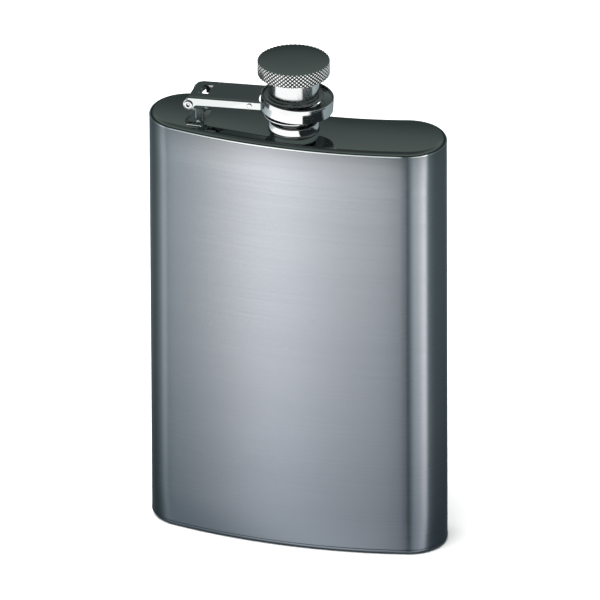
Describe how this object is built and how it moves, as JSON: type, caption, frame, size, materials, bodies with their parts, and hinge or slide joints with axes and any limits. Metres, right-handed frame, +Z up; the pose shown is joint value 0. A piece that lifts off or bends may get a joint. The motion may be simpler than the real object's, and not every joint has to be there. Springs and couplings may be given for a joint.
{
  "type": "hip flask",
  "caption": "Kidney-section brushed steel hip flask with a mirror top plate and a knurled screw cap held captive in a ring on a hinged arm.",
  "frame": {"origin": "middle of the body's footprint, on the face it stands on", "axes": "+X along the width, away from the arm's hinge; +Y towards the hollow back; +Z up through the cap"},
  "size_m": [0.092, 0.0278, 0.1575],
  "materials": {
    "brushed_body": "fine brushed lines running round the body",
    "polished_plate": "mirror polished",
    "bright_fittings": "bright polished",
    "turned_cap": "polished face over a diamond-knurled grip",
    "seal": "satin white liner"
  },
  "bodies": {
    "flask": {"body_shell": "brushed_body", "bottom_plate": "brushed_body", "top_plate": "polished_plate", "neck_spout": "bright_fittings", "neck_collar": "bright_fittings", "hinge_bracket": "bright_fittings", "hinge_pin": "bright_fittings", "pin_washer_front": "bright_fittings", "pin_washer_rear": "bright_fittings"},
    "arm": {"hinge_arm": "polished_plate", "captive_ring": "bright_fittings", "ring_rivet_front": "bright_fittings", "ring_rivet_rear": "bright_fittings"},
    "cap_slide": {"slip_washer": "bright_fittings"},
    "cap": {"cap_head": "turned_cap", "cap_sleeve": "bright_fittings", "cap_gasket": "seal", "retaining_washer": "bright_fittings"}
  },
  "joints": [
    {"name": "arm_swing", "type": "hinge", "parent": "flask", "child": "arm", "pos_m": [-0.0311, -0.00235, 0.14125], "axis": [0, -1, 0], "range_deg": [0, 110]},
    {"name": "cap_lift", "type": "slide", "parent": "arm", "child": "cap_slide", "axis": [0, 0, 1], "range_m": [0, 0.0035]},
    {"name": "cap_turn", "type": "hinge", "parent": "cap_slide", "child": "cap", "pos_m": [0, -0.00235, 0.1445], "axis": [0, 0, 1], "range_deg": [0, 628]}
  ],
  "couplings": [
    {"joint": "cap_lift", "follows": "cap_turn", "m_per_rad": 0.00031831}
  ]
}
